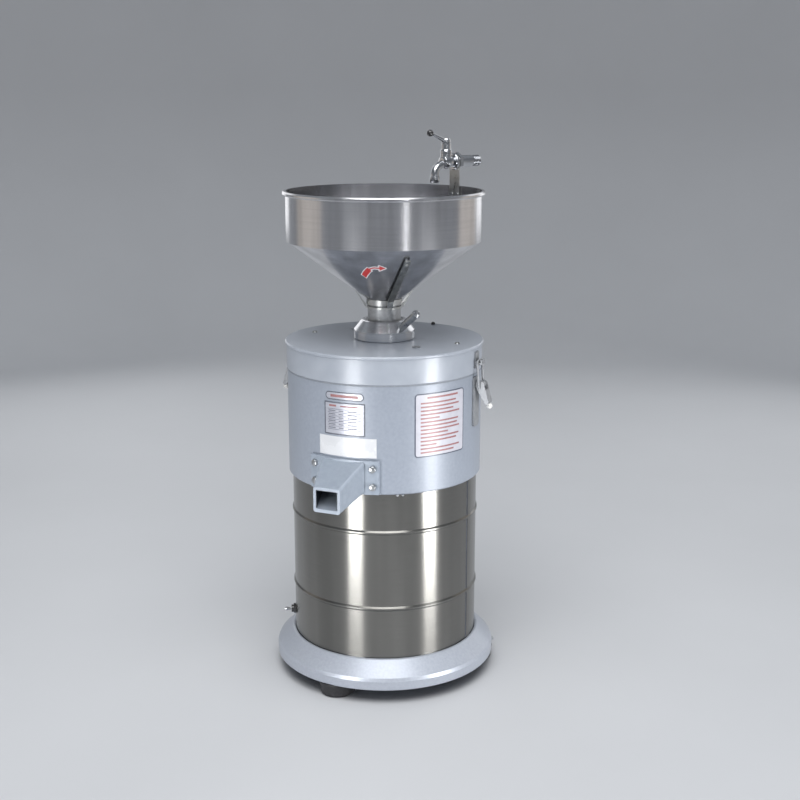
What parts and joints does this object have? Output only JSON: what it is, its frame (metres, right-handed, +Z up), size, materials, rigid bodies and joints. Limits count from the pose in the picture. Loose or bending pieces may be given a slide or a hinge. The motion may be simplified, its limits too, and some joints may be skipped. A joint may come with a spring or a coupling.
{
  "type": "soy milk machine",
  "caption": "Upright stone grinder that separates soy milk: feed hopper with water tap, clamped lid, milk spout, residue chute, steel motor shell on a flared base.",
  "frame": {"origin": "on the machine's axis at floor level, centre of the base", "axes": "+Z up, -Y towards the milk spout, +X towards the right latch seen from the spout"},
  "size_m": [0.349, 0.404, 0.8261],
  "materials": {
    "cast_silver": "satin",
    "rubber": "matt",
    "zinc_steel": "zinc plated",
    "stainless": "brushed",
    "aluminium": "cast",
    "bearing_steel": "ground",
    "lamination": "matt",
    "copper_wire": "enamelled",
    "black_plastic": "satin",
    "chrome": "polished",
    "grey_paint": "satin",
    "lid_paint": "gloss",
    "screen_mesh": "fine mesh",
    "stone": "ground",
    "cast_grey": "cast",
    "white_plastic": "gloss"
  },
  "bodies": {
    "root": {"base_ring": "cast_silver", "rubber_feet": "rubber", "foot_bolts": "zinc_steel", "motor_shell": "stainless", "upper_end_shield": "aluminium", "lower_end_shield": "aluminium", "motor_bearings": "bearing_steel", "motor_frame": "aluminium", "stator_core": "lamination", "stator_windings": "copper_wire", "motor_bolts": "zinc_steel", "run_capacitor": "aluminium", "capacitor_clamp": "zinc_steel", "toggle_switch": "black_plastic", "cable_gland": "black_plastic", "grinding_housing": "grey_paint", "milk_spout": "grey_paint", "residue_chute": "grey_paint", "outlet_bolts": "zinc_steel", "shaft_seal": "rubber", "residue_trough": "stainless", "guide_pins": "zinc_steel", "lid_gasket": "rubber", "lid": "lid_paint", "splash_ring": "stainless", "lid_screws": "zinc_steel", "latch_bases": "zinc_steel", "latch_keepers": "zinc_steel"},
    "rotor": {"rotor_shaft": "bearing_steel", "rotor_core": "lamination", "cooling_fan": "black_plastic", "filter_basket": "stainless", "filter_screen": "screen_mesh", "lower_stone": "stone", "feed_screw": "stainless"},
    "collar": {"adjusting_collar": "chrome", "adjusting_handle": "chrome", "collar_retainer": "zinc_steel"},
    "upper_stone": {"stone_holder": "cast_grey", "upper_stone": "stone", "stone_screws": "zinc_steel"},
    "hopper": {"hopper": "stainless", "hopper_neck": "stainless", "gate_seat": "stainless", "tap_bracket": "stainless", "bracket_rivets": "zinc_steel", "tap_body": "chrome", "tap_nut": "chrome", "tap_outlet": "chrome", "tap_bonnet": "chrome"},
    "gate": {"feed_gate": "stainless"},
    "tap_lever": {"tap_lever": "chrome", "tap_grip": "black_plastic"},
    "left_lever": {"latch_lever_left": "zinc_steel", "latch_knob_left": "white_plastic"},
    "right_lever": {"latch_lever_right": "zinc_steel", "latch_knob_right": "white_plastic"},
    "left_bail": {"latch_bail_left": "zinc_steel"},
    "right_bail": {"latch_bail_right": "zinc_steel"},
    "switch": {"switch_lever": "chrome"}
  },
  "joints": [
    {"name": "rotor_spin", "type": "hinge", "parent": "root", "child": "rotor", "pos_m": [0, 0, 0.3], "axis": [0, 0, 1], "continuous": true},
    {"name": "collar_turn", "type": "hinge", "parent": "root", "child": "collar", "pos_m": [0, 0, 0.53], "axis": [0, 0, 1], "range_deg": [-23, 120]},
    {"name": "upper_stone_lift", "type": "slide", "parent": "root", "child": "upper_stone", "axis": [0, 0, 1], "range_m": [-0.00038, 0.00199]},
    {"name": "hopper_lift_off", "type": "slide", "parent": "upper_stone", "child": "hopper", "axis": [0, 0, 1], "range_m": [0, 0.12]},
    {"name": "gate_turn", "type": "hinge", "parent": "hopper", "child": "gate", "pos_m": [0, 0, 0.571], "axis": [0, 0, 1], "range_deg": [-75, 0]},
    {"name": "tap_turn", "type": "hinge", "parent": "hopper", "child": "tap_lever", "pos_m": [0.05436, 0.11145, 0.7773], "axis": [0, 0, 1], "range_deg": [0, 90]},
    {"name": "left_latch", "type": "hinge", "parent": "root", "child": "left_lever", "pos_m": [-0.1585, 0, 0.461], "axis": [0, 1, 0], "range_deg": [0, 140]},
    {"name": "left_bail_turn", "type": "hinge", "parent": "left_lever", "child": "left_bail", "pos_m": [-0.15658, 0, 0.45638], "axis": [0, 1, 0], "range_deg": [-130, 0]},
    {"name": "right_latch", "type": "hinge", "parent": "root", "child": "right_lever", "pos_m": [0.1585, 0, 0.461], "axis": [0, -1, 0], "range_deg": [0, 140]},
    {"name": "right_bail_turn", "type": "hinge", "parent": "right_lever", "child": "right_bail", "pos_m": [0.15658, 0, 0.45638], "axis": [0, -1, 0], "range_deg": [-130, 0]},
    {"name": "switch_toggle", "type": "hinge", "parent": "root", "child": "switch", "pos_m": [-0.12124, -0.07, 0.088], "axis": [0.5, -0.866, 0], "range_deg": [-12, 12]}
  ],
  "couplings": [
    {"joint": "collar_turn", "follows": "upper_stone_lift", "rad_per_m": 1047.2},
    {"joint": "left_bail_turn", "follows": "left_latch", "ratio": -0.925},
    {"joint": "right_bail_turn", "follows": "right_latch", "ratio": -0.925}
  ]
}
